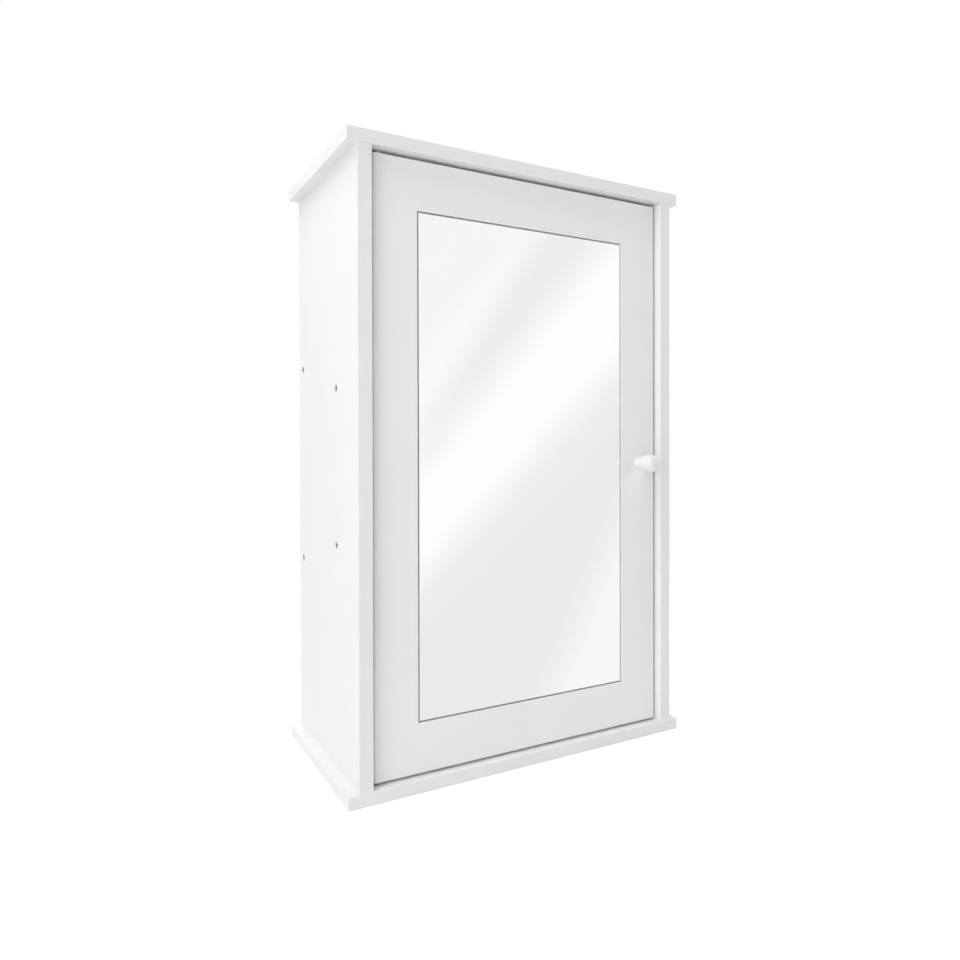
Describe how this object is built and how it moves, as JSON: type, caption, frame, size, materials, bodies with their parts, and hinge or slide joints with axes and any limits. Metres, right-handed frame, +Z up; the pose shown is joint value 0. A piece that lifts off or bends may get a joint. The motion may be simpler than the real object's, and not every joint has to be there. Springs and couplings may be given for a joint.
{
  "type": "bathroom mirror cabinet",
  "caption": "Narrow white wall cabinet with overhanging roof and base plates and one inset mirror door on pivot pins, with a turned knob, fixed shelves and a magnetic catch.",
  "frame": {"origin": "centre of the base plate's underside", "axes": "+Z up, the door faces -Y, the wall is at +Y, +X is to the right seen from the front"},
  "size_m": [0.34, 0.1875, 0.53],
  "materials": {
    "painted_board": "satin white paint",
    "painted_knob": "satin white paint",
    "hardboard": "bare hardboard",
    "beech": "bare",
    "zinc_steel": "zinc plated",
    "white_nylon": "moulded",
    "ferrite": "sintered",
    "mirror": "silvered float glass",
    "foam_tape": "closed-cell foam"
  },
  "bodies": {
    "cabinet": {"roof_plate": "painted_board", "base_plate": "painted_board", "left_side": "painted_board", "right_side": "painted_board", "back_panel": "hardboard", "upper_shelf": "painted_board", "lower_shelf": "painted_board", "upper_fixing_rail": "painted_board", "lower_fixing_rail": "painted_board", "left_side_screws": "zinc_steel", "right_side_screws": "zinc_steel", "roof_screws": "zinc_steel", "base_screws": "zinc_steel", "corner_dowels": "beech", "shelf_dowels": "beech", "back_panel_nails": "zinc_steel", "top_pivot_bush": "white_nylon", "bottom_pivot_bush": "white_nylon", "catch_housing": "white_nylon", "catch_magnet": "ferrite", "catch_pole_plates": "zinc_steel", "catch_screws": "zinc_steel"},
    "door": {"door_panel": "painted_board", "mirror_plate": "mirror", "mirror_tape": "foam_tape", "top_pivot_pin": "zinc_steel", "bottom_pivot_pin": "zinc_steel", "knob": "painted_knob", "knob_screw": "zinc_steel", "strike_plate": "zinc_steel", "strike_screws": "zinc_steel"}
  },
  "joints": [
    {"name": "door_hinge", "type": "hinge", "parent": "cabinet", "child": "door", "pos_m": [-0.1396, -0.0725, 0.265], "axis": [0, 0, -1], "range_deg": [0, 105]}
  ]
}
